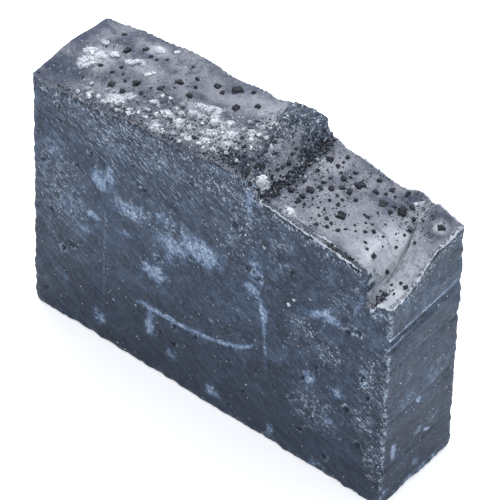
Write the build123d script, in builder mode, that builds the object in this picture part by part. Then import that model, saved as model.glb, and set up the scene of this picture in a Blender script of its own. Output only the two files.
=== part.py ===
from build123d import *
import os
from math import exp, hypot
from random import Random

os.makedirs("parts", exist_ok=True)

# A hand-cut bar of charcoal soap, one slice of a poured loaf, topped with coarse salt.
# X runs along the bar from its tall left end to its low right end, Y from the front cut to
# the back cut, Z up from the mould floor. The origin is the middle of the footprint.

# Driving dimensions, in millimetres
bar_length = 91.0           # inside width of the loaf mould
slice_thickness = 23.0      # from cut to cut
block_height = 75.0         # height of the blank that the poured top is carved from
corner_radius = 0.5         # upright edges, where the wire left the soap
base_edge_radius = 0.9      # edges of the mould floor
crust_depth = 0.6           # soda ash crust on the poured top
grid_pitch = 1.0            # spacing of the points that the poured top passes through
top_overrun = 2.5           # how far the poured top is drawn past the cut faces
surface_tolerance = 0.05    # how closely it passes them

left_end_height = 63.0      # poured top over the mould floor, at the left end
left_rim_rise = 0.9         # the top curls up against the left mould wall
shoulder_rise = 2.0         # from the left end up to the upper tier
crown = 0.8                 # middle of the slice over its edges
lobe_rise = 2.1             # rise of the upper tier to the folded lobe, at the back cut
lower_tier_height = 65.0    # lower tier at the foot of the step
lower_tier_fall = 0.105     # fall of the lower tier for each millimetre to the right
back_ridge = 2.9            # ridge of the lower tier beside the groove, at the back cut
ledge_height = 56.6         # low ledge at the front right corner
ledge_rise = 5.3            # rise of that ledge to the middle of the slice
back_corner_rise = 2.2      # and from there to the back cut
spout_depth = 2.9           # spout below the ledge, at the front cut
groove_depth = 0.5          # crease between the lower tier and the ledge

half_length = bar_length / 2
half_thickness = slice_thickness / 2


def ease(t):
    """Smooth change from 0 to 1 while t goes from 0 to 1."""
    t = min(max(t, 0.0), 1.0)
    return t * t * (3 - 2 * t)


def rise(place, start, length, height=1.0):
    """A slope of the given height that starts at start and is length long."""
    return height * ease((place - start) / length)


def swell(place, middle, width, height=1.0):
    """A round bump of the given height."""
    return height * exp(-(((place - middle) / width) ** 2))


def across(y):
    """0 at the front cut, 1 at the back cut."""
    return (y + half_thickness) / slice_thickness


def upper_tier(x, y):
    back = ease(across(y))
    front_line = rise(x, -27, 8, 1.6) + rise(x, -7, 9, 2.1) - swell(x, -34, 8, 0.9)
    back_line = rise(x, -38, 26, 2.8) + rise(x, -2, 8, lobe_rise)
    back_line -= swell(x, -12, 5, 1.5) + swell(x, -1, 4, 0.6)
    height = left_end_height + rise(x, -45, 11, shoulder_rise)
    height += front_line * (1 - back) + back_line * back
    height += swell(x, -46.5, 3, left_rim_rise) * (1 - rise(y, 0, 9))
    return height + swell(y, 1, 7, crown)


def lower_tier(x, y):
    back = ease(across(y))
    front_line = swell(x, 13.5, 2, 0.1) + 0.3
    back_line = swell(x, 13.5, 2, 1.0) + swell(x, 25, 7, 0.9) - rise(x, 18, 8, 0.9)
    height = lower_tier_height - lower_tier_fall * (x - 13)
    height += front_line * (1 - back) + back_line * back
    return height + swell(x, 35, 3.2, back_ridge) * swell(y, 12.5, 4.5)


def step_foot(y):
    return 12.4 + 0.3 * across(y)


def step_width(y):
    return 5.4 - 3.6 * across(y)


def groove_line(y):
    return 40.2 - rise(y, 0, 8, 4.2) + rise(y, 7, 4, 3.3)


def bank_width(y):
    return 0.9 + rise(y, -half_thickness, 7, 3.6) - rise(y, 5, 6, 1.6)


def corner_ledge(x, y):
    height = ledge_height + rise(y, -8, 12, ledge_rise)
    height += rise(y, 4, 7, back_corner_rise) * (1 - rise(x, 38, 7, 0.8))
    return height - swell(x, 40.4, 1.6, spout_depth) * rise(-y, 6.5, 4)


def poured_height(x, y):
    """Height of the poured top: two tiers with a step between them, then the low corner."""
    down = rise(x, step_foot(y) - step_width(y), step_width(y))
    tiers = upper_tier(x, y) * (1 - down) + lower_tier(x, y) * down
    over = rise(x, groove_line(y) - bank_width(y), bank_width(y))
    height = tiers * (1 - over) + corner_ledge(x, y) * over
    return height - swell(x, groove_line(y), 0.9, groove_depth) * rise(-y, -9.5, 6) * rise(y, -10, 3)


def poured_surface(drop):
    """The poured top as one smooth face, lowered by drop."""
    columns = round((bar_length + 2 * top_overrun) / grid_pitch) + 1
    rows = round((slice_thickness + 2 * top_overrun) / grid_pitch) + 1
    xs = [-half_length - top_overrun + grid_pitch * i for i in range(columns)]
    ys = [-half_thickness - top_overrun + grid_pitch * i for i in range(rows)]
    points = [[Vector(x, y, poured_height(x, y) - drop) for y in ys] for x in xs]
    return Face.make_surface_from_array_of_points(
        points, tol=surface_tolerance, min_deg=3, max_deg=3
    )


# The blank: mould walls left and right, mould floor below, wire cuts at the front and back
with BuildPart() as blank:
    with BuildSketch(Plane.XY):
        RectangleRounded(bar_length, slice_thickness, corner_radius)
    extrude(amount=block_height)
    fillet(blank.edges().group_by(Axis.Z)[0], base_edge_radius)

with BuildPart() as above_crust:
    extrude(poured_surface(0), amount=block_height / 3, dir=(0, 0, 1))

with BuildPart() as above_core:
    extrude(poured_surface(crust_depth), amount=block_height / 3, dir=(0, 0, 1))

with BuildPart() as bar:
    add(blank.part)
    add(above_crust.part, mode=Mode.SUBTRACT)

with BuildPart() as crust:
    add(bar.part)
    add(above_core.part, mode=Mode.INTERSECT)

# Plan outlines of the three patches of crust. The step face and the lip of the spout are bare.
left_edge = -half_length - top_overrun
right_edge = half_length + top_overrun
front_edge = -half_thickness - top_overrun
back_edge = half_thickness + top_overrun

with BuildPart() as upper_patch:
    with BuildSketch(Plane.XY.offset(block_height / 2)):
        with BuildLine():
            crest = Spline((8.5, front_edge), (8, -6), (6.5, 0), (4, 6), (2, back_edge))
            Polyline(crest @ 0, (left_edge, front_edge), (left_edge, back_edge), crest @ 1)
        make_face()
    extrude(amount=block_height / 2)

with BuildPart() as lower_patch:
    with BuildSketch(Plane.XY.offset(block_height / 2)):
        with BuildLine():
            foot = Spline((12.8, front_edge), (13, 0), (12.8, back_edge))
            bank = Spline(
                (38.8, front_edge), (38.6, -9.5), (40.2, -6), (40.2, -1), (38.5, 4), (39.2, back_edge)
            )
            Line(foot @ 0, bank @ 0)
            Line(foot @ 1, bank @ 1)
        make_face()
    extrude(amount=block_height / 2)

with BuildPart() as trough_patch:
    with BuildSketch(Plane.XY.offset(block_height / 2)):
        with BuildLine():
            Polyline((40.6, front_edge), (40.6, -6), (38, -6), (38, back_edge),
                     (right_edge, back_edge), (right_edge, front_edge), close=True)
        make_face()
    extrude(amount=block_height / 2)
    add(lower_patch.part, mode=Mode.SUBTRACT)


# Salt. Each crystal is a rough block, lying flat on the poured top.
chance = Random(11)
clearance = 0.12            # least gap between two crystals, and from a crystal to a cut face
bedding = 0.07              # least gap under a crystal, so that it clears the crust
rise_of_block = 0.6         # height of a crystal of flatness 1, for each millimetre of its size
settled = []                # (x, y, radius) of every crystal so far


def bed_plane(x, y, reach):
    """The plane under a crystal, along the poured top at (x, y) and clear of it within reach."""
    slope_x = (poured_height(x + reach, y) - poured_height(x - reach, y)) / (2 * reach)
    slope_y = (poured_height(x, y + reach) - poured_height(x, y - reach)) / (2 * reach)
    steps = [-reach, -reach / 2, 0, reach / 2, reach]
    top = max(poured_height(x + i, y + j) - slope_x * i - slope_y * j for i in steps for j in steps)
    return Plane((x, y, top + bedding), z_dir=(-slope_x, -slope_y, 1))


def salt_crystal(x, y, size, stretch=1.0, flatness=0.8, turn=None):
    """One crystal, size wide and stretch times as long, with its long way at turn degrees."""
    turn = chance.uniform(0, 180) if turn is None else turn
    height = size * flatness * rise_of_block
    corners = []
    for level, width in ((0, 0.8), (0.45, 1), (1, 0.65)):
        for angle in (45, 135, 225, 315):
            reach = size * 0.56 * width * chance.uniform(0.85, 1.1)
            corner = Vector(reach, 0, 0).rotate(Axis.Z, angle + chance.uniform(-22, 22))
            lift = level * height * (chance.uniform(0.75, 1.1) if level else 1)
            corners.append((corner.X * stretch, corner.Y, lift))
    with Locations(bed_plane(x, y, size * 0.5).location * Location((0, 0, 0), (0, 0, turn))):
        ConvexPolyhedron(corners)
    settled.append((x, y, size * stretch * 0.58))


def has_room(x, y, radius):
    inside = abs(x) < half_length - radius - clearance and abs(y) < half_thickness - radius - clearance
    return inside and all(hypot(x - a, y - b) > radius + r + clearance for a, b, r in settled)


def scatter_salt(count, line, spread, y_range, sizes):
    """Grains strewn within spread of a line across the slice, which gives x for each y."""
    tries = count * 30
    while count and tries:
        tries -= 1
        y = chance.uniform(*y_range)
        x = line(y) + chance.uniform(-spread, spread)
        size = chance.uniform(*sizes)
        if has_room(x, y, size * 0.58):
            salt_crystal(x, y, size)
            count -= 1


# White crystals large enough to have a name: x, y, size, stretch, flatness, turn
white_crystals = {
    "white_crystal_left_block": (-37.8, -2.9, 2.7, 1.7, 0.6, 55),
    "white_crystal_left_cap": (-39.9, 0.2, 2.9, 1.1, 0.5, 20),
    "white_crystal_left_chip": (-34.8, 1.8, 1.8, 1.2, 0.6, 40),
    "white_crystal_left_tip": (-40.2, 4.1, 1.4, 1.0, 0.6, 0),
    "white_crystal_long_bar": (-29.8, 2.3, 1.0, 3.6, 0.9, 55),
    "white_crystal_low_bar": (-25.6, 1.1, 1.2, 2.6, 0.5, 50),
    "white_crystal_oval": (-28.3, 7.7, 1.5, 1.9, 0.5, 40),
    "white_crystal_back_sliver": (-25.4, 9.5, 0.9, 2.4, 0.6, 30),
    "white_crystal_plate": (-18.2, -5.0, 0.9, 2.6, 0.6, 50),
    "white_crystal_step_lump": (10.7, -8.5, 3.0, 1.1, 0.9, 70),
    "white_crystal_lower_lump": (18.9, -9.8, 1.8, 1.2, 0.6, 60),
    "white_crystal_lobe_high": (11.5, 8.4, 0.5, 3.2, 1.0, 100),
    "white_crystal_lobe_low": (12.8, 6.8, 0.5, 2.4, 1.0, 110),
    "white_crystal_ridge": (36.4, 9.2, 1.5, 1.1, 0.7, 40),
}

# Black grains large enough to have a name: x, y, size, stretch, flatness, turn
black_crystals = {
    "black_grain_left_large": (-26.1, -2.1, 2.1, 1.1, 0.8, 30),
    "black_grain_left_back": (-34.0, 4.3, 1.9, 1.1, 0.8, 80),
    "black_grain_left_front": (-30.4, -4.6, 1.7, 1.1, 0.8, 10),
    "black_grain_domed": (-18.8, 2.1, 2.2, 1.0, 0.5, 0),
    "black_grain_back_large": (-8.9, 8.3, 2.5, 1.1, 0.8, 45),
    "black_grain_step_crest": (8.9, -6.3, 1.6, 1.0, 1.0, 75),
    "black_grain_lower_large": (26.6, -3.3, 2.2, 1.1, 0.7, 20),
    "black_grain_lower_long": (29.9, 0.1, 0.9, 2.4, 0.9, 5),
    "black_grain_lower_cluster": (24.2, 5.5, 2.3, 1.2, 0.7, 60),
    "black_grain_ridge_dark": (30.1, 5.0, 2.1, 1.1, 0.6, 30),
    "black_grain_ridge_large": (33.9, 6.3, 1.9, 1.3, 0.9, 45),
    "black_grain_ringed": (42.5, 7.8, 2.0, 1.0, 0.4, 45),
}

# Smaller grains and lumps, grouped by where they lie: x, y, size
placed_groups = {
    "white_lumps_front": [
        (-25.8, -8.3, 2.2), (-14.9, -5.8, 2.3), (-14.6, -9.9, 2.5), (-11.8, -6.4, 2.3), (-10.9, -3.1, 2.3),
        (-8.8, -0.1, 2.6), (-6.0, -2.2, 2.5), (-2.8, -1.6, 2.6), (-4.4, -5.0, 2.0), (-0.2, -4.1, 2.2),
        (0.5, -6.7, 2.1),
    ],
    "black_grains_upper_left": [
        (-38.1, 8.2, 1.4), (-31.2, 6.9, 1.4), (-28.9, 5.5, 1.3), (-25.6, 6.6, 1.2), (-35.6, -2.0, 1.2),
        (-31.7, -0.2, 0.9), (-28.5, -2.7, 1.0), (-27.2, -5.1, 1.7), (-23.4, -3.9, 1.3), (-20.6, -1.4, 1.6),
        (-22.7, -9.3, 1.6),
    ],
    "black_grains_upper_right": [
        (-15.0, 0.7, 1.5), (-12.9, 6.9, 1.8), (-10.9, 5.9, 1.2), (-6.0, 9.6, 1.0), (-5.4, 3.4, 1.9),
        (-2.6, 6.6, 1.5), (-6.9, -7.4, 1.3), (8.0, -9.6, 1.2),
    ],
    "black_grains_lower_front": [
        (15.4, -5.3, 1.7), (18.1, -2.6, 2.0), (18.1, -4.8, 1.4), (18.2, -6.6, 1.5), (24.5, -8.6, 1.3),
        (26.4, -6.3, 1.0), (28.4, -6.8, 1.2), (24.2, -1.6, 1.1), (33.3, -2.0, 1.4), (32.3, -3.2, 1.1),
        (37.0, -6.8, 1.5), (33.9, -5.4, 0.9),
    ],
    "black_grains_lower_middle": [
        (18.7, 0.9, 1.3), (19.1, -0.6, 1.3), (20.9, 0.6, 1.5), (22.0, 2.3, 1.2), (20.9, 4.3, 1.7),
        (22.6, 0.0, 1.1), (23.7, 2.5, 1.6), (15.8, 6.4, 1.7), (16.1, 2.4, 1.3), (25.9, 9.1, 1.2),
        (18.0, 9.4, 1.0),
    ],
    "black_grains_ridge": [
        (27.3, 6.4, 1.3), (28.9, 7.4, 0.9), (29.3, 9.1, 1.4), (32.1, 6.1, 1.1), (32.4, 4.3, 1.4),
        (33.7, 1.2, 1.1), (35.3, 8.0, 1.2), (32.5, 10.0, 1.4), (37.0, 6.2, 1.2), (38.7, 6.7, 1.0),
    ],
    "black_grains_trough": [
        (37.9, 3.6, 1.0), (36.5, 1.0, 0.9), (38.1, -0.9, 0.9), (40.4, 2.2, 1.0), (39.1, -4.9, 1.0),
        (42.8, -5.1, 1.1), (41.4, -6.2, 0.8), (44.1, -5.2, 1.2),
    ],
}

# Grains strewn in bands across the slice: count, line, spread, y range, sizes
strewn_groups = {
    "black_grit_step_foot_front": (24, step_foot, 2.0, (-11, -3), (0.6, 1.3)),
    "black_grit_step_foot_middle": (24, step_foot, 1.8, (-3, 4), (0.6, 1.3)),
    "black_grit_step_foot_back": (20, step_foot, 1.6, (4, 11), (0.6, 1.3)),
    "black_grit_step_crest": (10, lambda y: 4.5, 3.5, (-9, 3), (0.7, 1.1)),
    "black_grit_upper_tier": (14, lambda y: -25, 14, (-9, 8), (0.6, 1.0)),
    "black_grit_lower_tier": (24, lambda y: 21, 5.5, (-8, 8), (0.6, 1.1)),
    "black_grit_right": (12, lambda y: 33, 5, (-7, 9), (0.5, 0.9)),
    "black_grit_spout": (8, lambda y: 42.2, 1.0, (-11, -7), (0.45, 0.7)),
    "white_grit_left": (10, lambda y: -29, 6, (-10.5, -5), (0.8, 1.5)),
    "white_grit_front": (24, lambda y: -10, 10, (-10.5, -2), (0.8, 1.6)),
    "white_grit_step_crest": (16, lambda y: 4, 4.5, (-9, 4), (0.7, 1.4)),
    "white_grit_step_foot": (6, lambda y: 14, 1.5, (-9, 8), (0.5, 0.8)),
}

salt_nodes = {}

for name, (x, y, size, stretch, flatness, turn) in (white_crystals | black_crystals).items():
    with BuildPart() as single:
        salt_crystal(x, y, size, stretch, flatness, turn)
    salt_nodes[name] = single.part

for name, grains in placed_groups.items():
    with BuildPart() as group:
        for x, y, size in grains:
            salt_crystal(x, y, size)
    salt_nodes[name] = group.part

for name, (count, line, spread, y_range, sizes) in strewn_groups.items():
    with BuildPart() as group:
        scatter_salt(count, line, spread, y_range, sizes)
    salt_nodes[name] = group.part

# Flecks of salt inside the soap that the wire laid bare, flush with the front cut: x, z, size
fleck_depth = 0.8
front_flecks = [
    (14.2, 53.3, 1.0), (20.8, 41.8, 1.1), (22.0, 43.8, 0.9), (-38.3, 47.0, 0.6), (9.6, 53.9, 0.7),
]
with BuildPart() as white_flecks_front:
    for x, z, size in front_flecks:
        with BuildSketch(Plane((x, -half_thickness, z), z_dir=(0, -1, 0))):
            RegularPolygon(size / 2, 5, rotation=chance.uniform(0, 90))
        extrude(amount=-fleck_depth)
salt_nodes["white_flecks_front"] = white_flecks_front.part

crust_nodes = {}
for name, patch in (
    ("ash_crust_upper", upper_patch), ("ash_crust_lower", lower_patch), ("ash_crust_trough", trough_patch)
):
    with BuildPart() as crust_piece:
        add(crust.part)
        add(patch.part, mode=Mode.INTERSECT)
    crust_nodes[name] = crust_piece.part

with BuildPart() as soap_body:
    add(bar.part)
    add([*crust_nodes.values(), white_flecks_front.part], mode=Mode.SUBTRACT)

for name, piece in ({"soap_body": soap_body.part} | crust_nodes | salt_nodes).items():
    piece.label = name
    export_step(piece, f"parts/{name}.step")
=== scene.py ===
import math
import random

import bpy
from mathutils import Euler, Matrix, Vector, noise
from mathutils.bvhtree import BVHTree


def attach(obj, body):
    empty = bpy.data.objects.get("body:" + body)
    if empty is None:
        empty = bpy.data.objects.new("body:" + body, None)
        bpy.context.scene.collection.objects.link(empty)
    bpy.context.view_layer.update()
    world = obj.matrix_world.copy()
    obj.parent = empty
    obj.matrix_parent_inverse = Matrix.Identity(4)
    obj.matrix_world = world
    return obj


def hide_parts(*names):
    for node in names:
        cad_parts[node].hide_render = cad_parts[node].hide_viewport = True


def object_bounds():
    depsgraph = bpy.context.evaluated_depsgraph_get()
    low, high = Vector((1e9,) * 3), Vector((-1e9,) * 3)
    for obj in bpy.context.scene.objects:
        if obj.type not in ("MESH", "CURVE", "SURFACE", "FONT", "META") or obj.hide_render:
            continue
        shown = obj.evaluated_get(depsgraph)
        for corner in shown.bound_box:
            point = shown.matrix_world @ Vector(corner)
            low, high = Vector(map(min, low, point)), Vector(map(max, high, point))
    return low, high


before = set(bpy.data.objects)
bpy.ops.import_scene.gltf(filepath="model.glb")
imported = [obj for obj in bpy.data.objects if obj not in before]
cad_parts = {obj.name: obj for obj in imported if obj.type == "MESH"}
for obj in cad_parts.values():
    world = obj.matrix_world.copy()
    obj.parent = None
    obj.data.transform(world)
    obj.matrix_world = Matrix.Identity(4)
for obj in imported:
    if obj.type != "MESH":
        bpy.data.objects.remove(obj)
cad_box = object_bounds()
bpy.ops.object.select_all(action="DESELECT")

# ---------------------------------------------------------------------------------------------
# Camera: a long lens above the right front corner, looking down on the bar with a slight tilt.

camera_place = (0.4167, -0.5296, 0.7045)
camera_turn = (45.17, -1.19, 39.26)
bpy.ops.object.camera_add(
    location=camera_place, rotation=[math.radians(angle) for angle in camera_turn]
)
camera = bpy.context.object
camera.data.sensor_width = 36
camera.data.lens = 342.3
camera.data.clip_start = 0.05
bpy.context.scene.camera = camera

# ---------------------------------------------------------------------------------------------
# Studio: a white sweep under a white sky, and one wide soft lamp over the back of the bar.

bpy.context.scene.view_settings.view_transform = "Standard"
bpy.context.scene.view_settings.look = "None"
sky = bpy.data.worlds.new("studio_sky")
sky.use_nodes = True
sky.node_tree.nodes["Background"].inputs["Color"].default_value = (0.96, 0.98, 1.0, 1)
sky.node_tree.nodes["Background"].inputs["Strength"].default_value = 1.0
bpy.context.scene.world = sky

bpy.ops.object.light_add(type="AREA", location=(-0.25, 0.45, 0.9))
lamp = bpy.context.object
lamp.name = "studio_lamp"
lamp.data.shape = "RECTANGLE"
lamp.data.size = 0.7
lamp.data.size_y = 0.5
lamp.data.energy = 9
lamp.rotation_euler = (Vector((0, 0, 0.05)) - lamp.location).to_track_quat("-Z", "Y").to_euler()

bpy.ops.mesh.primitive_plane_add(size=6, location=(0, 0, 0))
floor = bpy.context.object
floor.name = "studio_floor"
floor_paint = bpy.data.materials.new("white_sweep")
floor_paint.use_nodes = True
sweep = floor_paint.node_tree.nodes["Principled BSDF"].inputs
sweep["Base Color"].default_value = (0.9, 0.92, 0.94, 1)
sweep["Roughness"].default_value = 0.9
sweep["Emission Color"].default_value = (0.97, 0.98, 1.0, 1)
sweep["Emission Strength"].default_value = 0.45
floor.data.materials.append(floor_paint)

# ---------------------------------------------------------------------------------------------
# Soap block: one slice of a charcoal soap loaf. The broad faces are wire cut, the ends and the
# base took the finish of the mould, and the step on top is bare, torn soap.

mm = 0.001
half_length = cad_box[1][0] / mm
half_thickness = cad_box[1][1] / mm
block_voxel = 0.45
pit_sink, fold_sink = 0.55, 0.4
pits_per_cut = 45


def work_on(piece):
    bpy.ops.object.select_all(action="DESELECT")
    piece.select_set(True)
    bpy.context.view_layer.objects.active = piece


def skin_of(node, name):
    """A closed copy of a CAD solid, with its loose triangles joined up."""
    piece = bpy.data.objects.new(name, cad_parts[node].data.copy())
    bpy.context.scene.collection.objects.link(piece)
    piece.data.materials.clear()
    work_on(piece)
    bpy.ops.object.mode_set(mode="EDIT")
    bpy.ops.mesh.select_all(action="SELECT")
    bpy.ops.mesh.remove_doubles(threshold=0.001 * mm)
    bpy.ops.mesh.normals_make_consistent(inside=False)
    bpy.ops.mesh.select_all(action="DESELECT")
    bpy.ops.object.mode_set(mode="OBJECT")
    return piece


def apply_modifier(piece, kind, **settings):
    work_on(piece)
    bpy.ops.object.modifier_add(type=kind)
    modifier = piece.modifiers[-1]
    for key, value in settings.items():
        setattr(modifier, key, value)
    bpy.ops.object.modifier_apply(modifier=modifier.name)


def roughen(piece, size, depth, detail, group="", stretch=(1, 1, 1), tilt=0.0):
    """Presses an uneven, cloudy pattern into a piece. Size and depth are in millimetres."""
    bpy.ops.object.empty_add()
    grid = bpy.context.object
    grid.scale = [mm * size * along for along in stretch]
    grid.rotation_euler = (0, tilt, 0)
    relief = bpy.data.textures.new("relief", "CLOUDS")
    relief.noise_scale = 1.0
    relief.noise_depth = detail
    bpy.context.view_layer.update()
    apply_modifier(
        piece, "DISPLACE", texture=relief, texture_coords="OBJECT", texture_coords_object=grid,
        strength=depth * mm, mid_level=0.5, vertex_group=group,
    )
    bpy.data.objects.remove(grid)
    bpy.data.textures.remove(relief)


def weigh(piece, name, weight):
    """A vertex group with weights worked out from each point, in millimetres, and its normal."""
    group = piece.vertex_groups.new(name=name)
    for vertex in piece.data.vertices:
        amount = weight(vertex.co / mm, vertex.normal)
        if amount > 0.01:
            group.add([vertex.index], min(amount, 1.0), "REPLACE")


def ramp(value, low, high):
    """0 at low, 1 at high, smooth between them."""
    t = min(max((value - low) / (high - low), 0.0), 1.0)
    return t * t * (3 - 2 * t)


block = skin_of("soap_body", "soap_block")
apply_modifier(block, "REMESH", mode="VOXEL", voxel_size=block_voxel * mm)
smooth_block = BVHTree.FromObject(block, bpy.context.evaluated_depsgraph_get())


def edge_distance(point):
    """Distance to the nearest long edge of the bar, in millimetres."""
    gaps = sorted((half_length - abs(point.x), half_thickness - abs(point.y), point.z))
    return math.hypot(gaps[0], gaps[1])


def top_height(x, y):
    """Height of the bar just inside x, y, in millimetres, before any roughness."""
    above = Vector((x * 0.985, y * 0.97, 80)) * mm
    hit = smooth_block.ray_cast(above, Vector((0, 0, -1)))
    return hit[0].z / mm if hit[0] else 60


weigh(block, "cut", lambda p, n: ramp(abs(n.y), 0.8, 0.95))
weigh(block, "mould", lambda p, n: ramp(abs(n.x), 0.8, 0.95))
weigh(block, "edge", lambda p, n: 1 - ramp(edge_distance(p), 0.4, 2.2))
weigh(block, "torn", lambda p, n: ramp(n.z, 0.05, 0.3) if p.z > 60 and 2 < p.x < 13 else 0)
drag_tilt = math.radians(33)
roughen(block, 9, 0.35, 1)
roughen(block, 1.6, 0.35, 2, "cut", stretch=(5, 3, 1), tilt=drag_tilt)
roughen(block, 3.5, 0.35, 2, "mould", stretch=(1, 4, 0.7))
roughen(block, 2.2, 0.85, 2, "edge")
roughen(block, 1.4, 1.0, 3, "torn")

# Pits torn by the wire in both cuts: x, side, height, size. Fold lines that the mould left on the
# ends: height, slope, strength.
pit_chance = random.Random(5)
pits = [
    (pit_chance.uniform(-43, 43), side, pit_chance.uniform(3, 60), pit_chance.uniform(0.5, 1.0))
    for side in (-1, 1) for count in range(pits_per_cut)
]
pits += [(9.4, -1, 53.7, 1.3), (7.0, -1, 55.0, 1.2), (13.0, -1, 44.0, 0.9), (35.5, -1, 44.0, 0.9)]
folds = [
    (47.0, 0.03, 0.9), (45.6, 0.13, 0.8), (38.5, -0.05, 0.4), (24.0, 0.04, 0.4), (10.6, 0.02, 0.5),
]


def pit_reach(p, n):
    """Distance from the middle of the nearest pit, 1 at its rim."""
    if abs(p.y) < half_thickness - 1 or abs(n.y) < 0.6:
        return 9
    return min(math.hypot(p.x - x, p.z - z) / size for x, side, z, size in pits if side * p.y > 0)


def pit_depth(p, n):
    return 1 - ramp(pit_reach(p, n), 0.3, 1)


def fold_depth(p, n):
    if abs(p.x) < half_length - 1 or abs(n.x) < 0.6:
        return 0
    wander = 0.6 * noise.noise(Vector((p.x, p.y * 0.2, p.z * 0.1)))
    gaps = [(abs(p.z - height - slope * p.y - wander), width) for height, slope, width in folds]
    return max(width * (1 - ramp(gap, 0, 0.8)) for gap, width in gaps)


weigh(block, "pits", pit_depth)
weigh(block, "folds", fold_depth)
apply_modifier(block, "DISPLACE", strength=-pit_sink * mm, mid_level=0, vertex_group="pits")
apply_modifier(block, "DISPLACE", strength=-fold_sink * mm, mid_level=0, vertex_group="folds")
work_on(block)
bpy.ops.object.shade_smooth()


def note(piece, name, amount):
    """A number on each point for the material to read, worked out as for weigh."""
    layer = piece.data.attributes.new(name, "FLOAT", "POINT")
    for vertex in piece.data.vertices:
        layer.data[vertex.index].value = amount(vertex.co / mm, vertex.normal)


def blots(a, b, patches):
    """The strongest of some soft oval patches at a, b: middle, half sizes both ways, strength."""
    strongest = 0.0
    for middle_a, middle_b, width, height, strength in patches:
        gap = math.hypot((a - middle_a) / width, (b - middle_b) / height)
        if gap < 1.25:
            strongest = max(strongest, strength * (1 - ramp(gap, 0.2, 1.25)))
    return strongest


def veins(a, b, paths):
    """How near a, b lies to some lines, each a run of points: place, half width, strength."""
    strongest = 0.0
    for path in paths:
        for (a0, b0, w0, s0), (a1, b1, w1, s1) in zip(path, path[1:]):
            run = ((a - a0) * (a1 - a0) + (b - b0) * (b1 - b0)) / ((a1 - a0) ** 2 + (b1 - b0) ** 2)
            run = min(max(run, 0.0), 1.0)
            gap = math.hypot(a - a0 - run * (a1 - a0), b - b0 - run * (b1 - b0))
            gap /= w0 + run * (w1 - w0)
            if gap < 1.6:
                strongest = max(strongest, (s0 + run * (s1 - s0)) * (1 - ramp(gap, 0.3, 1.6)))
    return strongest


# Pale clouds and veins, where the soap set unevenly. The front cut and the right end first.
front_clouds = [
    (-25, 48, 1.6, 4, 0.7), (-28, 45, 3, 3.5, 0.8), (-20, 42, 6, 3, 0.6), (-2, 42, 7, 4.5, 0.8),
    (0.5, 42.5, 2.5, 3, 0.9), (-8.5, 39, 6, 3.5, 0.7), (-11, 45, 3.5, 2, 0.55),
    (-29.5, 34.5, 2.5, 1.5, 0.7), (-21, 34.5, 2, 1.2, 0.5), (-13.5, 28.5, 4.5, 3, 0.75),
    (-36, 33, 5, 5, 0.35), (-32, 29, 3, 2, 0.4), (-9.5, 34.5, 1.8, 2.5, 0.5), (12.5, 46, 2.4, 9, 0.5),
    (11.5, 40, 3, 3, 0.6), (14.6, 35, 1.2, 2.5, 0.9), (-14.6, 12.5, 1.8, 4, 0.7),
    (31, 44.5, 4, 1.8, 0.7), (27, 43, 3, 1.5, 0.5), (26.5, 25, 2, 3, 0.65), (33.5, 25.5, 2.5, 2, 0.5),
    (31, 16, 4, 3, 0.4), (2, 4.5, 3, 2, 0.6), (-28, 6.5, 2.5, 3, 0.5), (-9, 8, 2, 2.5, 0.4),
    (17, 3, 1.8, 3, 0.5), (1.5, 24.5, 1, 1.5, 0.5), (6, 32, 5, 1.2, 0.3), (40, 35, 1.8, 2, 0.5),
    (-40, 47, 3, 6, 0.35), (29, 2, 3, 2, 0.4), (-38, 12, 3, 3, 0.25),
]
front_veins = [
    [(11.0, 67, 0.9, 0.7), (10.2, 62, 0.9, 0.6), (10.4, 57, 0.8, 0.1), (12.5, 48, 1.0, 0.1)],
    [(12.0, 42, 0.6, 0.2), (13.6, 38, 0.7, 0.6), (15, 33.6, 0.7, 1.0)],
    [(38.3, 55, 0.7, 0.5), (36.8, 50, 0.5, 0.5), (35, 45, 0.4, 0.1)],
    [(25, 42.5, 0.6, 0.4), (29.5, 45, 1.0, 0.8), (34, 50, 0.5, 0.2)],
    [(28, 53, 0.4, 0.1), (30.5, 56, 0.4, 0.35), (32, 59, 0.4, 0.1)],
    [(-26.2, 38, 0.25, 0.45), (-26.8, 20, 0.25, 0.35), (-27, 3, 0.25, 0.2)],
    [(14.2, 36, 0.6, 0.7), (15.2, 28, 0.4, 0.65), (15.6, 22, 0.35, 0.4), (16, 16, 0.3, 0.0)],
    [(-19, 17.5, 0.8, 0.1), (-16, 17.8, 1.0, 0.6), (-10, 18, 0.8, 0.75), (-5, 18.2, 0.65, 0.7),
     (0, 19, 0.55, 0.65), (5, 20.4, 0.6, 0.75), (9, 22, 0.6, 0.65), (12, 24.2, 0.5, 0.45),
     (13.6, 26.8, 0.4, 0.1)],
    [(-14.2, 17, 1.2, 0.4), (-14.8, 10.5, 1.0, 0.5)],
]
end_clouds = [
    (-5, 34, 4, 4.5, 0.22), (0, 52, 13, 5, 0.25), (-5, 26, 5, 3, 0.3), (5, 27, 5, 4, 0.35),
    (-0.5, 23, 1.2, 1.2, 0.9), (-8, 14, 1.2, 3, 0.8), (0, 14, 2, 1.5, 0.4), (5, 14, 2, 2.5, 0.3),
    (-0.5, 5, 2, 1.5, 0.5), (-10, 3.5, 2, 1.5, 0.5), (0, 1.5, 12, 1.3, 0.45),
]
end_veins = [
    [(-11.5, 47.9, 0.35, 0.9), (5, 48.1, 0.35, 0.8), (11.5, 48.9, 0.35, 0.5)],
    [(-11.5, 45.1, 0.35, 0.7), (-4, 46.6, 0.3, 0.3)],
    [(2.3, 12.1, 0.4, 1.0), (3.8, 11.2, 0.4, 1.0)],
]
cloud_chance = random.Random(8)
back_clouds = [
    (cloud_chance.uniform(-42, 42), cloud_chance.uniform(2, 56), cloud_chance.uniform(2, 7),
     cloud_chance.uniform(1.5, 4), cloud_chance.uniform(0.25, 0.6)) for count in range(26)
]
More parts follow.
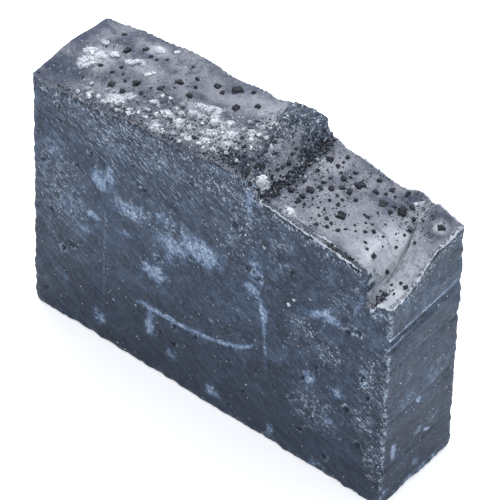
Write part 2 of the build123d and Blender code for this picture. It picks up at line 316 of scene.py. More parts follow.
back_veins = [
    [(-30, 62, 0.9, 0.8), (-27, 48, 0.9, 0.6), (-29, 36, 0.6, 0.7), (-26, 22, 0.5, 0.0)],
    [(6, 12, 0.6, 0.2), (14, 14, 1.0, 0.8), (22, 19, 0.8, 0.8), (29, 27, 0.6, 0.2)],
]
left_clouds = [
    (4, 50, 6, 5, 0.4), (-5, 34, 5, 4, 0.5), (5, 24, 4, 3, 0.4), (-3, 12, 3, 4, 0.6), (6, 6, 3, 2, 0.4),
]
left_veins = [[(-11.5, 47.5, 0.35, 0.8), (11.5, 46.5, 0.35, 0.6)]]


def haze_at(p, n):
    """How pale the soap is at a point of any side."""
    if abs(n.x) > 0.7:
        clouds, lines = (end_clouds, end_veins) if p.x > 0 else (left_clouds, left_veins)
        return max(blots(p.y, p.z, clouds), veins(p.y, p.z, lines))
    clouds, lines = (front_clouds, front_veins) if p.y < 0 else (back_clouds, back_veins)
    return max(blots(p.x, p.z, clouds), veins(p.x, p.z, lines))


# Where the cut is crowded with salt specks: under the top, round some clouds, at the right edge
speck_crowds = [
    (-20, 61, 26, 5, 0.6), (3, 62, 11, 4, 0.9), (-19, 42, 7, 4, 0.8), (-9, 43, 8, 5, 0.7),
    (5, 50, 5, 6, 0.6), (10, 59, 5, 6, 0.7), (18, 55, 3, 9, 0.6), (25, 38, 4, 4, 0.7),
    (31, 35, 4, 4, 1.0), (41, 34, 3, 6, 1.2), (40, 22, 3, 4, 1.1), (43, 12, 2.5, 6, 1.1),
    (28, 17, 8, 6, 0.7), (-38, 38, 8, 13, 0.6), (35, 52, 7, 9, 0.35),
]
# Where the drag lines of the wire are deepest: under the upper tier and along both side edges
combed_zones = [
    (-22, 57, 26, 12, 1.0), (5, 60, 10, 8, 0.8), (-38, 30, 8, 20, 0.5), (42, 25, 5, 28, 0.5),
]


def top_gap(p, n):
    """How near a point on the side of the bar is to the poured top above it."""
    return 1 - ramp(top_height(p.x, p.y) - p.z, 0.2, 5)


def speck_crowd(p, n):
    """How thick the salt specks lie at a point."""
    crowd = blots(p.x, p.z, speck_crowds) if abs(n.x) < 0.7 else 0.25 * top_gap(p, n)
    return max(crowd, 0.3 * (1 - ramp(edge_distance(p), 0.3, 2)), 0.9 * top_gap(p, n))


def worn_edge(p, n):
    """How near a point is to the upright front right edge, which is rubbed pale."""
    return 1 - ramp(math.hypot(half_length - p.x, half_thickness + p.y), 0.3, 0.9)


def pit_rim(p, n):
    """The crumbs that the wire left round each pit."""
    reach = pit_reach(p, n)
    return ramp(reach, 0.6, 1.1) - ramp(reach, 1.2, 1.7)


def dust_at(p, n):
    """Soda ash on the bare parts of the top: the ridge of the step, and the bank of the groove."""
    if p.z < 52 or n.z < 0.1 or abs(p.y) > half_thickness - 0.3 or p.x > half_length - 0.5:
        return 0
    ridge = 0.6 * (1 - ramp(abs(p.x - 10.4 + 0.1 * p.y), 0.3, 1.2)) * (1 - ramp(p.y, 2, 7))
    step = (0.6 - 0.5 * ramp(p.y, 0, 5)) * ramp(noise.noise(p * 0.45), -0.25, 0.35)
    return max(ramp(p.x, 34, 36), ridge, step)


note(block, "haze", haze_at)
note(block, "combed", lambda p, n: blots(p.x, p.z, combed_zones) if abs(n.y) > 0.7 else 0)
note(block, "worn_edge", worn_edge)
# Painted shade: a mask for darkening the inside of each sunk pit
note(block, "pit", lambda p, n: 1 - ramp(pit_reach(p, n), 0.4, 0.9))
note(block, "pit_rim", pit_rim)
note(block, "crowd", speck_crowd)
note(block, "dust", dust_at)
# Painted shade: a mask that grows towards the bottom of the bar
note(block, "low", lambda p, n: 1 - ramp(p.z, 4, 34))
note(block, "lobe", lambda p, n: ramp(n.z, 0.15, 0.4) if p.z > 58 else 0)


class Recipe:
    """A material under construction, with its patterns measured in millimetres."""

    def __init__(self, name):
        self.material = bpy.data.materials.new(name)
        self.material.use_nodes = True
        self.tree = self.material.node_tree
        self.shader = self.tree.nodes["Principled BSDF"]
        place = self.add("ShaderNodeTexCoord").outputs["Object"]
        self.place = self.add("ShaderNodeMapping", place, Scale=(1 / mm, 1 / mm, 1 / mm))

    def add(self, kind, *sources, **settings):
        node = self.tree.nodes.new(kind)
        for key, value in settings.items():
            if key in node.inputs:
                node.inputs[key].default_value = value
            else:
                setattr(node, key, value)
        for socket, source in zip(node.inputs, sources):
            self.tree.links.new(source, socket)
        return node

    def feed(self, socket, value):
        """Sets a socket to a number or a colour, or links a pattern to it."""
        if isinstance(value, (int, float)):
            socket.default_value = value
        elif isinstance(value, tuple):
            socket.default_value = (*value, 1)
        else:
            self.tree.links.new(value, socket)

    def turned(self, angle, scale):
        """The pattern space turned about the thickness of the bar and then stretched."""
        turn = self.add("ShaderNodeMapping", self.place.outputs[0], Rotation=(0, angle, 0))
        return self.add("ShaderNodeMapping", turn.outputs[0], Scale=scale).outputs[0]

    def clouds(self, scale, detail=4, roughness=0.55, distortion=0.0, where=None):
        node = self.add(
            "ShaderNodeTexNoise", where or self.place.outputs[0],
            Scale=scale, Detail=detail, Roughness=roughness, Distortion=distortion,
        )
        return node.outputs["Fac"]

    def between(self, value, low, high, to_low=0.0, to_high=1.0):
        """Carries a value from low..high to to_low..to_high, smoothly and no further."""
        node = self.add("ShaderNodeMapRange", value, interpolation_type="SMOOTHSTEP")
        limits = {"From Min": low, "From Max": high, "To Min": to_low, "To Max": to_high}
        for key, number in limits.items():
            node.inputs[key].default_value = number
        return node.outputs["Result"]

    def math(self, operation, first, second):
        node = self.add("ShaderNodeMath", operation=operation)
        self.feed(node.inputs[0], first)
        self.feed(node.inputs[1], second)
        return node.outputs[0]

    def product(self, first, *others):
        for other in others:
            first = self.math("MULTIPLY", first, other)
        return first

    def specks(self, scale, size, share, where=None):
        """Round specks in a share of the cells of a random mesh, with a size against the cell's."""
        cells = self.add("ShaderNodeTexVoronoi", where or self.place.outputs[0], Scale=scale)
        core = self.between(cells.outputs["Distance"], size, size * 0.55)
        pick = self.add("ShaderNodeSeparateColor", cells.outputs["Color"])
        return self.product(core, self.math("LESS_THAN", pick.outputs[0], share))

    def mix(self, amount, first, second):
        node = self.add("ShaderNodeMix", data_type="RGBA", clamp_factor=True)
        for socket, value in zip((node.inputs[0], *node.inputs[6:8]), (amount, first, second)):
            self.feed(socket, value)
        return node.outputs[2]

    def attribute(self, name):
        return self.add("ShaderNodeAttribute", attribute_name=name).outputs["Fac"]

    def finish(self, colour, roughness, height, bump, shine):
        """Joins up the shader: colour, roughness, shine, and a bump of so many millimetres."""
        self.feed(self.shader.inputs["Base Color"], colour)
        self.feed(self.shader.inputs["Roughness"], roughness)
        self.feed(self.shader.inputs["Specular IOR Level"], shine)
        relief = self.add("ShaderNodeBump", Strength=1.0, Distance=bump * mm)
        self.tree.links.new(height, relief.inputs["Height"])
        self.tree.links.new(relief.outputs["Normal"], self.shader.inputs["Normal"])
        return self.material


charcoal_black = (0.010, 0.016, 0.031)
charcoal_dark = (0.014, 0.024, 0.047)
charcoal_mid = (0.024, 0.041, 0.076)
charcoal_pale = (0.088, 0.130, 0.208)
haze_blue = (0.125, 0.190, 0.310)
haze_white = (0.480, 0.570, 0.700)
salt_fleck = (0.540, 0.600, 0.690)
pock_shade_black = (0.006, 0.009, 0.016)
ash_grey = (0.360, 0.385, 0.450)

soap = Recipe("charcoal_soap")
drag = soap.turned(-drag_tilt, (0.24, 0.5, 1.3))
streaks = soap.clouds(0.7, detail=5, roughness=0.7, where=drag)
scratches = soap.clouds(1.9, detail=3, roughness=0.7, where=drag)
blotch = soap.clouds(0.22, detail=5, roughness=0.6, distortion=0.8)
mottle = soap.clouds(0.55, detail=7, roughness=0.7)
gritty_soap = soap.clouds(1.3, detail=4, roughness=0.8)
fine = soap.clouds(2.4, detail=4, roughness=0.75)
drift = soap.clouds(0.07, detail=4, roughness=0.55, distortion=0.6)
tone = soap.mix(soap.between(drift, 0.40, 0.62), charcoal_dark, charcoal_mid)
tone = soap.mix(soap.between(blotch, 0.50, 0.68, 0, 0.45), tone, charcoal_pale)
tone = soap.mix(soap.between(blotch, 0.48, 0.34, 0, 0.6), tone, charcoal_black)
tone = soap.mix(soap.between(mottle, 0.48, 0.70, 0, 0.6), tone, charcoal_pale)
tone = soap.mix(soap.between(mottle, 0.47, 0.33, 0, 0.8), tone, charcoal_black)
tone = soap.mix(soap.between(gritty_soap, 0.50, 0.68, 0, 0.6), tone, charcoal_pale)
tone = soap.mix(soap.between(gritty_soap, 0.48, 0.32, 0, 0.8), tone, charcoal_black)
combed = soap.between(soap.attribute("combed"), 0, 1, 0.35, 1)
tone = soap.mix(soap.product(soap.between(streaks, 0.51, 0.68, 0, 0.7), combed), tone, charcoal_pale)
tone = soap.mix(soap.product(soap.between(streaks, 0.48, 0.34, 0, 0.8), combed), tone, charcoal_black)
tone = soap.mix(soap.product(soap.between(scratches, 0.54, 0.68, 0, 0.7), combed), tone, charcoal_pale)
tone = soap.mix(soap.product(soap.between(scratches, 0.47, 0.34, 0, 0.7), combed), tone, charcoal_black)
smears = soap.product(soap.between(scratches, 0.54, 0.64), soap.attribute("combed"))
smears = soap.product(smears, soap.between(blotch, 0.40, 0.54, 0.2, 1))
tone = soap.mix(soap.product(smears, 0.5), tone, haze_white)
# Painted shade: the soap darkens towards black inside the sunk pits
tone = soap.mix(soap.product(soap.attribute("pit"), 0.6), tone, charcoal_black)
pit_crumbs = soap.product(
    soap.attribute("pit_rim"), soap.between(gritty_soap, 0.50, 0.60), soap.between(mottle, 0.44, 0.56)
)
tone = soap.mix(pit_crumbs, tone, haze_white)
# Painted shade: the soap darkens towards black near the bottom of the bar
tone = soap.mix(soap.product(soap.attribute("low"), 0.55), tone, charcoal_black)
tone = soap.mix(soap.product(soap.attribute("lobe"), 0.4), tone, charcoal_black)

# The haze is a foam of fine pale bubbles, ragged at its edges
wisps = soap.clouds(0.6, detail=8, roughness=0.78, distortion=0.4)
ragged = soap.between(wisps, 0.28, 0.72, -0.55, 0.35)
haze = soap.attribute("haze")
haze_depth = soap.math("ADD", haze, soap.product(ragged, soap.between(haze, 0.02, 0.25)))
bubbles = soap.between(fine, 0.42, 0.60, 0.1, 1)
veil = soap.product(
    soap.between(haze_depth, 0.02, 0.65, 0, 0.95), soap.between(gritty_soap, 0.34, 0.56, 0.45, 1)
)
tone = soap.mix(veil, tone, haze_blue)
foam = soap.product(
    soap.between(haze_depth, 0.3, 0.85), bubbles, soap.between(gritty_soap, 0.42, 0.56, 0.1, 1)
)
tone = soap.mix(foam, tone, haze_white)

# Salt specks in bunches, crumbs where they crowd with painted shade of hollows among them, and small
# pocks with painted shade
speck_way = soap.turned(-drag_tilt, (0.6, 0.8, 1.25))
crowd = soap.attribute("crowd")
bunch = soap.between(soap.clouds(0.35, detail=5, roughness=0.7), 0.46, 0.62, 0.1, 1)
share = soap.product(soap.math("ADD", soap.product(crowd, 0.5), 0.06), bunch)
small_flecks = soap.specks(2.2, 0.42, share, speck_way)
flecks = soap.math("MAXIMUM", small_flecks, soap.specks(0.9, 0.24, share, speck_way))
grains = soap.clouds(1.7, detail=5, roughness=0.85, where=speck_way)
crumbly = soap.product(soap.between(grains, 0.53, 0.62), soap.between(mottle, 0.42, 0.54), crowd)
# Painted shade: dark spots where the grain pattern is lowest, standing for hollows
hollow_shade = soap.product(soap.between(grains, 0.46, 0.38), soap.between(mottle, 0.42, 0.54), crowd)
pocks = soap.specks(0.8, 0.16, 0.15)
tone = soap.mix(soap.product(flecks, soap.between(fine, 0.35, 0.6, 0.3, 0.85)), tone, salt_fleck)
tone = soap.mix(soap.product(hollow_shade, 0.8), tone, charcoal_black)
tone = soap.mix(soap.product(crumbly, 1.4), tone, haze_white)
# Painted shade: the small pocks, also sunk in the bump, are painted near black
tone = soap.mix(soap.product(pocks, 0.7), tone, pock_shade_black)
worn = soap.product(soap.attribute("worn_edge"), soap.between(gritty_soap, 0.48, 0.60), 0.7)
tone = soap.mix(worn, tone, haze_white)
dusted = soap.product(soap.attribute("dust"), soap.between(mottle, 0.28, 0.5, 0.3, 1))
tone = soap.mix(dusted, tone, ash_grey)
grain = soap.math("ADD", soap.product(streaks, 0.6), soap.product(mottle, 0.6))
grain = soap.math("ADD", grain, soap.math("ADD", soap.product(fine, 0.35), soap.product(flecks, 0.2)))
grain = soap.math("SUBTRACT", grain, soap.product(pocks, 0.5))
satin = soap.between(mottle, 0.3, 0.7, 0.45, 0.65)
block.data.materials.append(soap.finish(tone, satin, grain, 0.55, 0.2))
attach(block, "root")
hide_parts("soap_body")

# ---------------------------------------------------------------------------------------------
# Soda ash crust: a powdery skin that grew on the poured top while it set. It is cut off square
# at the front and back, and breaks away white and crumbly along the rim of the trough.

# Where the ash is thin and dark, and where it is thick and pale: x, y, half widths, strength
dark_ash = [
    (-42, -7, 7, 5, 0.95), (-45, 5, 3, 9, 0.7), (-33, -9.5, 6, 2, 0.6), (7, 8, 4, 4.5, 1.0),
    (4, -8.8, 6, 3.3, 0.95), (42, 7.5, 4, 5, 0.8), (41.5, -10, 1.6, 2, 0.6), (-16, -2.5, 4, 2.5, 0.7),
    (-4, 0.6, 7, 1.6, 0.6), (8, 0, 4, 10, 0.8), (30, 5, 4, 3, 0.35), (33, -10.7, 5, 1.2, 0.9),
    (-24, -10.5, 9, 1.5, 0.7), (-9, -10.8, 9, 1.3, 0.7), (-23, 4, 3, 1.5, 0.4), (-34, 5.5, 5, 2, 0.5),
    (-30, -1.5, 4, 2, 0.5), (-9, -3.5, 2.5, 1.3, 0.6), (13.5, 0, 2, 13, 0.7), (23, 5.5, 3, 3, 0.4),
    (-42, 1, 2.5, 3, 0.4), (-36, 6, 3.5, 2, 0.7), (-33, -3.5, 3, 1.5, 0.7), (-38, -5, 3.5, 2, 0.7),
    (-26, 6, 3, 1.5, 0.6), (-30, 0.3, 5, 1, 0.7), (-20, -1, 3, 1.2, 0.5), (-32, 10, 4, 1.5, 0.5),
    (-12, 2, 5, 1.2, 0.5), (0, 1, 4, 2, 0.6), (33, 9, 4, 1.5, 0.6), (43, 3, 2.5, 4, 0.5),
]
pale_ash = [
    (-10, -1, 5, 2.5, 0.6), (-11, -6, 7, 4, 0.5), (-2, -5, 5.5, 4.5, 0.55), (-28, -7.5, 5, 2.5, 0.45),
    (20, -10, 5, 1.4, 0.7), (-2, 7, 7, 4, 0.35), (24, 7, 4, 3, 0.3), (38, -4, 6, 11, 1.0),
    (43, -5, 5, 9, 1.0), (37, 6, 3, 4, 0.5), (35, -6, 4, 5, 0.7), (-37, 0, 5, 5, 0.6),
    (-29, 8, 3, 2.5, 0.5), (-27, 2, 6, 2.5, 0.45), (42.3, 7.6, 1.9, 1.9, 0.9), (28, -3, 12, 8, 0.3),
    (17, 5, 4, 5, 0.35),
]
gritty_ash = [
    (-11, -5.5, 10, 6, 1.0), (-1, -5, 7, 7, 1.0), (-27, -9, 9, 3, 0.7), (6, 1, 6, 8, 0.8),
    (4, -9, 7, 3, 1.0), (14, 0, 2.5, 13, 0.9), (19, -10.5, 6, 1.5, 0.6), (33, -10.8, 6, 1.2, 0.8),
    (41.3, -10, 2, 2, 0.7), (-36, 2, 8, 8, 0.3), (35, 8, 5, 4, 0.4), (23, 5, 6, 5, 0.35),
]
# Dark lines, mostly painted shade: the crease of the groove, the shadows of cracks along the front, and
# a curl: x, y, half width, strength
crease_shade_lines = [
    [(37.4, 8.5, 0.3, 0.2), (38.3, 4, 0.3, 0.5), (39.5, 1, 0.3, 0.7), (40.0, -3, 0.25, 0.6),
     (40.3, -10, 0.3, 0.5)],
    [(19.5, -10.2, 0.2, 0.5), (23, -10.5, 0.28, 1.0), (27.5, -10.3, 0.2, 0.6)],
    [(31, -0.5, 0.3, 0.2), (35, -0.9, 0.3, 0.6), (38, -2.2, 0.3, 0.2)],
    [(-18.5, 9.5, 0.4, 0.2), (-18.0, 7, 0.4, 0.6), (-19.5, 5, 0.4, 0.2)],
]
# White salt half melted into the crust: x, y, half widths, strength
melted_salt = [
    (-40.5, 0.3, 1.7, 1.5, 1.0), (-37.9, 0.3, 1.5, 1.4, 1.0), (-39.0, -2.2, 2.1, 2.7, 1.0),
    (-39.5, 4, 1.3, 1, 0.8), (-35.3, 1.8, 1.4, 1.1, 1.0), (-31, 1.9, 1.6, 0.9, 0.9),
    (-29.6, 3, 1.6, 0.9, 0.9), (-29, 8.3, 1.7, 1.2, 0.7), (-10.8, -0.2, 2.2, 1.1, 1.0),
    (-8.4, 0.4, 2.2, 1.4, 1.0), (-7, -0.8, 1.2, 1, 0.9), (-11, -2.6, 1.6, 1.1, 0.9),
    (-15.2, -6, 1.9, 1.1, 1.0), (-12, -6.5, 1.3, 1.3, 1.0), (-3.6, -2, 2.2, 1.4, 0.9),
    (-1, -4, 2.2, 1.8, 1.0), (-5, -4.8, 1.8, 1.3, 0.9), (-4, -7.2, 1.8, 1.2, 0.8),
    (0.5, -6.6, 1.7, 1.4, 0.8), (-8, -8.4, 1.8, 1, 0.7), (-14.3, -10.2, 2.1, 1.5, 1.0),
    (-27, -7.6, 3.2, 1.8, 0.6), (-24.5, -5.6, 2.4, 1.5, 0.5), (2.5, -1.5, 1.8, 1.6, 0.6),
    (4.5, 2.5, 1.6, 1.4, 0.5), (-19.5, -5, 1.6, 1, 0.5), (-32, -8.8, 2.2, 1, 0.5),
    (-22, -9.4, 2, 1.2, 0.6), (18.4, -9.6, 2, 1, 0.8), (28, -10.6, 4, 0.6, 0.6),
    (36, 8.7, 1.5, 1, 0.6),
]


def broken_edge(p, n):
    """Where the crust was cut or broke off: its cut edges and the rim of the trough."""
    cut = 1 - ramp(half_thickness - abs(p.y), 0.05, 0.6)
    trough = 1 - ramp(half_length - p.x, 0.2, 1.1) if p.x > 30 else 0
    return max(cut, trough)


def white_edge(p, n):
    """The part of the broken edge that shows white: all but the front of the upper tier."""
    return broken_edge(p, n) * (0.95 if p.x > 11 else 0.15)


def smeared_edge(p, n):
    """The front of the upper tier, where the wire dragged soap over the edge of the crust."""
    return ramp(abs(n.y), 0.2, 0.6) * (0.9 if p.x < 11 else 0.35)


ash_dull, ash_light = (0.095, 0.110, 0.150), (0.225, 0.235, 0.283)
powder_pale, powder_dark = (0.340, 0.355, 0.420), (0.050, 0.058, 0.082)
thick_ash = (0.540, 0.570, 0.640)
black_dust, white_dust = (0.016, 0.021, 0.034), (0.560, 0.600, 0.680)
salt_dull, salt_bright = (0.270, 0.310, 0.380), (0.760, 0.790, 0.840)
dust_white, pepper_black = (0.620, 0.650, 0.720), (0.016, 0.020, 0.030)
rim_white = (0.640, 0.690, 0.770)
crust_voxel = 0.22
salt_rise = 0.35

skin = Recipe("soda_ash")
powder = skin.clouds(3.0, detail=4, roughness=0.8)
patches = skin.clouds(0.22, detail=6, roughness=0.62, distortion=0.5)
gritty = skin.clouds(1.0, detail=8, roughness=0.8)
ash = skin.mix(skin.between(patches, 0.40, 0.60), ash_dull, ash_light)
ash = skin.mix(skin.between(powder, 0.48, 0.68, 0, 0.5), ash, powder_pale)
ash = skin.mix(skin.between(powder, 0.48, 0.30, 0, 0.55), ash, powder_dark)
dark = skin.product(skin.attribute("dark"), skin.between(gritty, 0.66, 0.46, 0.3, 1))
pale = skin.product(skin.attribute("pale"), skin.between(gritty, 0.34, 0.56, 0.5, 1))
ash = skin.mix(skin.product(dark, 0.9), ash, charcoal_mid)
ash = skin.mix(skin.product(pale, 0.9), ash, thick_ash)
grit_zone = skin.attribute("gritty")
dark_grit = skin.product(skin.between(gritty, 0.51, 0.42), grit_zone)
white_grit = skin.product(skin.between(gritty, 0.56, 0.66), grit_zone)
ash = skin.mix(dark_grit, ash, black_dust)
ash = skin.mix(skin.product(white_grit, 0.8), ash, white_dust)
dust = skin.specks(1.8, 0.30, 0.10)
pepper = skin.specks(1.3, 0.24, 0.18)
ash = skin.mix(skin.product(dust, 0.6), ash, dust_white)
ash = skin.mix(skin.product(pepper, 0.85), ash, pepper_black)
smear = skin.product(skin.attribute("smear"), skin.between(gritty, 0.66, 0.40, 0.2, 1))
ash = skin.mix(smear, ash, charcoal_dark)
crumble = skin.between(gritty, 0.32, 0.68, -0.45, 0.25)
melted = skin.math("ADD", skin.attribute("melted"), crumble)
salt_white = skin.mix(skin.between(powder, 0.38, 0.62), salt_dull, salt_bright)
ash = skin.mix(skin.between(melted, 0.15, 0.42), ash, salt_white)
rim = skin.product(skin.attribute("rim"), skin.between(gritty, 0.40, 0.52, 0.3, 1))
ash = skin.mix(skin.product(rim, 0.9), ash, rim_white)
# Painted shade: the crust darkens along the crease of the groove and the cracks
ash = skin.mix(skin.product(skin.attribute("crease"), 0.85), ash, charcoal_dark)
ash_relief = skin.math("ADD", skin.product(powder, 0.6), gritty)
crust_material = skin.finish(ash, 0.88, ash_relief, 0.35, 0.2)

crust_pieces = []
for node in ("ash_crust_upper", "ash_crust_lower", "ash_crust_trough"):
    crust = skin_of(node, node.replace("ash_crust", "crust"))
    apply_modifier(crust, "REMESH", mode="VOXEL", voxel_size=crust_voxel * mm)
    weigh(crust, "grit", lambda p, n: blots(p.x, p.y, gritty_ash))
    weigh(crust, "broken", broken_edge)
    roughen(crust, 5, 0.35, 1)
    roughen(crust, 0.9, 0.14, 2)
    roughen(crust, 1.2, 0.8, 2, "grit")
    weigh(crust, "salt", lambda p, n: blots(p.x, p.y, melted_salt))
    apply_modifier(crust, "DISPLACE", strength=salt_rise * mm, mid_level=0, vertex_group="salt")
    roughen(crust, 0.8, 0.6, 2, "broken")
    note(crust, "dark", lambda p, n: blots(p.x, p.y, dark_ash))
    note(crust, "pale", lambda p, n: blots(p.x, p.y, pale_ash))
    note(crust, "gritty", lambda p, n: blots(p.x, p.y, gritty_ash))
    note(crust, "melted", lambda p, n: blots(p.x, p.y, melted_salt))
    note(crust, "smear", smeared_edge)
    note(crust, "rim", white_edge)
    note(crust, "crease", lambda p, n: veins(p.x, p.y, crease_shade_lines))
    work_on(crust)
    bpy.ops.object.shade_smooth()
    crust.data.materials.append(crust_material)
    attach(crust, "root")
    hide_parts(node)
    crust_pieces.append(crust)

# ---------------------------------------------------------------------------------------------
# Salt crystals: coarse black lava salt and white sea salt, pressed into the soft crust. Their
# corners are worn, their faces chipped, and ash has grown over some of them.

sunk = {"black": 0.45, "white": 0.2}
salt_voxel = 0.13
salt_black, salt_charcoal = (0.004, 0.006, 0.010), (0.018, 0.023, 0.034)
ash_film = (0.130, 0.145, 0.190)
frost_dull, frost_bright = (0.200, 0.225, 0.280), (0.720, 0.750, 0.800)
frost_stain, frost_hollow_shade = (0.200, 0.220, 0.275), (0.080, 0.095, 0.130)

black_paint = Recipe("black_salt")
cloud = black_paint.clouds(1.6, detail=5, roughness=0.65)
film = black_paint.clouds(2.6, detail=6, roughness=0.7)
black = black_paint.between(cloud, 0.35, 0.7)
black = black_paint.mix(black, salt_black, salt_charcoal)
black = black_paint.mix(black_paint.between(film, 0.52, 0.68, 0, 0.6), black, ash_film)
glassy = black_paint.between(cloud, 0.3, 0.7, 0.3, 0.65)
black_material = black_paint.finish(black, glassy, film, 0.15, 0.25)

white_paint = Recipe("white_salt")
frost = white_paint.clouds(1.5, detail=7, roughness=0.75)
stain = white_paint.clouds(0.35, detail=2)
white = white_paint.between(frost, 0.40, 0.60)
white = white_paint.mix(white, frost_dull, frost_bright)
white = white_paint.mix(white_paint.between(stain, 0.54, 0.38, 0, 0.7), white, frost_stain)
# Painted shade: the white salt darkens where its bump pattern is lowest, in its hollows
white = white_paint.mix(white_paint.between(frost, 0.37, 0.27), white, frost_hollow_shade)
frosted = white_paint.between(frost, 0.3, 0.7, 0.35, 0.65)
white_material = white_paint.finish(white, frosted, frost, 0.2, 0.4)


def sink_grains(piece, share):
    """Presses each separate grain of a piece down by a share of its height."""
    mesh = piece.data
    joined = [[] for vertex in mesh.vertices]
    for edge in mesh.edges:
        joined[edge.vertices[0]].append(edge.vertices[1])
        joined[edge.vertices[1]].append(edge.vertices[0])
    waiting = set(range(len(mesh.vertices)))
    while waiting:
        grain, fresh = set(), [waiting.pop()]
        while fresh:
            corner = fresh.pop()
            grain.add(corner)
            fresh.extend(other for other in joined[corner] if other in waiting)
            waiting.difference_update(joined[corner])
        heights = [mesh.vertices[corner].co.z for corner in grain]
        for corner in grain:
            mesh.vertices[corner].co.z -= share * (max(heights) - min(heights))


for node in sorted(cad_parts):
    if not node.startswith(("black_", "white_")):
        continue
    colour = node.split("_")[0]
    crystals = skin_of(node, node.replace("_grain", "_salt").replace("_crystal", "_salt"))
    if node != "white_flecks_front":
        sink_grains(crystals, sunk[colour])
    apply_modifier(crystals, "REMESH", mode="VOXEL", voxel_size=salt_voxel * mm)
    roughen(crystals, 0.8, 0.6, 1)
    roughen(crystals, 0.35, 0.2, 1)
    work_on(crystals)
    bpy.ops.object.shade_smooth()
    crystals.data.materials.append(black_material if colour == "black" else white_material)
    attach(crystals, "root")
    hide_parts(node)

# ---------------------------------------------------------------------------------------------
# Loose crumbs: dust and chips of the same salts and of the crust, too fine to place one by one.
# They lie over the top after the big crystals, and some are smeared into the cut faces.

evaluated = bpy.context.evaluated_depsgraph_get()
ground = [BVHTree.FromObject(piece, evaluated) for piece in (block, *crust_pieces)]
far = 0.2


def nearest_hit(start, way):
    """Where a straight line first meets the bar, or None."""
    hits = [tree.ray_cast(start, way, far) for tree in ground]
    hits = [hit for hit in hits if hit[0] is not None]
    return min(hits, key=lambda hit: hit[3])[0] if hits else None


def onto_top(a, b):
    return nearest_hit(Vector((a * mm, b * mm, far / 2)), Vector((0, 0, -1)))


def onto_front(a, b):
    return nearest_hit(Vector((a * mm, -far / 2, b * mm)), Vector((0, 1, 0)))


def onto_back(a, b):
    return nearest_hit(Vector((a * mm, far / 2, b * mm)), Vector((0, -1, 0)))


def crumb_shape():
    """One angular crumb, a millimetre across: corner points and faces."""
    bpy.ops.mesh.primitive_ico_sphere_add(subdivisions=1, radius=0.5 * mm)
    crumb = bpy.context.object
    bpy.ops.object.mode_set(mode="EDIT")
    bpy.ops.mesh.select_all(action="SELECT")
    bpy.ops.transform.resize(value=(1.15, 0.9, 0.75))
    bpy.ops.transform.vertex_random(offset=0.22 * mm, seed=4)
    bpy.ops.object.mode_set(mode="OBJECT")
    corners = [vertex.co.copy() for vertex in crumb.data.vertices]
    sides = [tuple(face.vertices) for face in crumb.data.polygons]
    bpy.data.objects.remove(crumb)
    return corners, sides


crumb_points, crumb_faces = crumb_shape()


def strew(name, find_ground, heaps, material, seed):
    """Crumbs in soft-edged heaps: count, middle and reach both ways, smallest and largest."""
    chance = random.Random(seed)
    points, faces = [], []
    for count, a, b, reach_a, reach_b, small, large in heaps:
        for crumb in range(count):
            at = [
                middle + reach * (chance.uniform(-1, 1) + chance.gauss(0, 0.15))
                for middle, reach in ((a, reach_a), (b, reach_b))
            ]
            size = small + (large - small) * chance.random() ** 2
            turn = Euler([chance.uniform(0, math.tau) for axis in range(3)]).to_matrix()
            spot = find_ground(*at)
            if spot is None or abs(spot.x) > (half_length - size / 3) * mm:
                continue
            first = len(points)
            points.extend(spot + turn @ (point * size) for point in crumb_points)
            faces.extend(tuple(first + corner for corner in face) for face in crumb_faces)
    mesh = bpy.data.meshes.new(name)
    mesh.from_pydata(points, [], faces)
    piece = bpy.data.objects.new(name, mesh)
    bpy.context.scene.collection.objects.link(piece)
    mesh.materials.append(material)
    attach(piece, "root")


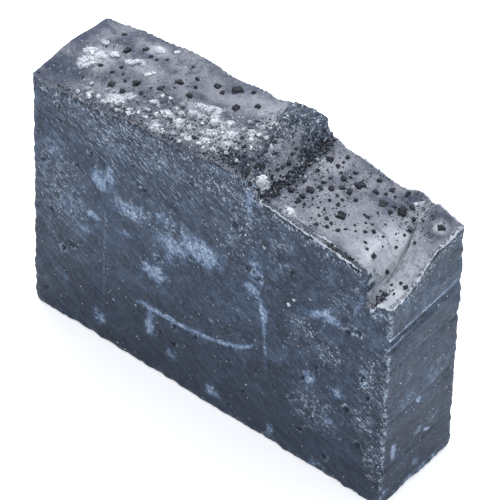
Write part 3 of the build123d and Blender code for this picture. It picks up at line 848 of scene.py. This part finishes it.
strew("black_crumbs", onto_top, [
    (420, 13.4, 0, 1.2, 11, 0.25, 0.8), (160, 12.2, -8, 1.8, 3, 0.25, 0.8),
    (420, 5, -1, 5, 9, 0.15, 0.55), (160, 9, 0, 3, 10.5, 0.15, 0.5), (300, 4, -9, 6, 2, 0.15, 0.5),
    (420, -12, -6, 10, 5, 0.15, 0.5), (420, 20, 0, 6, 10, 0.15, 0.5), (160, 31, 2, 7, 9, 0.15, 0.4),
    (110, 41.5, -9.5, 1.4, 1.8, 0.2, 0.6), (160, -28, 0, 12, 9, 0.15, 0.4),
    (130, 33, -11, 4, 0.4, 0.2, 0.6), (160, 38, 7, 4, 4, 0.15, 0.5),
    (260, -15, -10.8, 26, 0.6, 0.2, 0.6),
], black_material, 21)

strew("white_crumbs", onto_top, [
    (700, -9, -5.5, 8, 4.5, 0.12, 0.42), (300, 0, -4, 5, 5.5, 0.12, 0.42),
    (260, -28, -8, 8, 2.5, 0.12, 0.4), (200, 6, 1, 4, 6, 0.12, 0.4), (160, 10.5, 0, 1, 10, 0.12, 0.4),
    (200, 14.5, 0, 2.5, 10, 0.12, 0.35), (140, 24, 0, 10, 9, 0.12, 0.3),
    (70, 18.5, -9.8, 2, 1, 0.2, 0.7), (60, -37, 0, 5, 5, 0.15, 0.5),
    (60, -15, -9.5, 1.6, 1.2, 0.2, 0.7), (70, -9.5, -1, 3, 1.3, 0.2, 0.7),
    (60, 11, -9, 1.2, 1.6, 0.2, 0.6),
], white_material, 22)

strew("ash_crumbs", onto_top, [
    (420, -15, -11.2, 27, 0.3, 0.15, 0.5), (420, 26, -11.2, 13, 0.25, 0.15, 0.45),
    (380, 45.1, 0, 0.4, 11, 0.15, 0.5), (120, 40.5, -11.2, 2, 0.25, 0.15, 0.45),
    (300, 0, 11.2, 43, 0.25, 0.15, 0.5), (120, 37, -9, 3, 3, 0.1, 0.25),
    (400, 8, 0, 3.5, 10.5, 0.15, 0.5), (160, 37.5, -11.2, 1.2, 0.25, 0.2, 0.6),
    (140, 20, -11, 8, 0.4, 0.2, 0.6),
], crust_material, 23)

strew("cut_crumbs_front", onto_front, [
    (220, -18, 62.5, 24, 2, 0.1, 0.32), (120, 6, 62, 8, 4, 0.1, 0.32), (80, -10, 42, 12, 5, 0.1, 0.3),
    (90, 28, 37, 9, 6, 0.1, 0.32), (120, 43.5, 28, 1.8, 24, 0.12, 0.4), (60, 8, 50, 8, 6, 0.12, 0.32),
    (120, 0, 30, 43, 28, 0.1, 0.25),
], white_material, 24)

strew("cut_crumbs_back", onto_back, [
    (240, 0, 62, 42, 2.5, 0.12, 0.35), (260, 0, 32, 43, 28, 0.1, 0.3),
], white_material, 25)
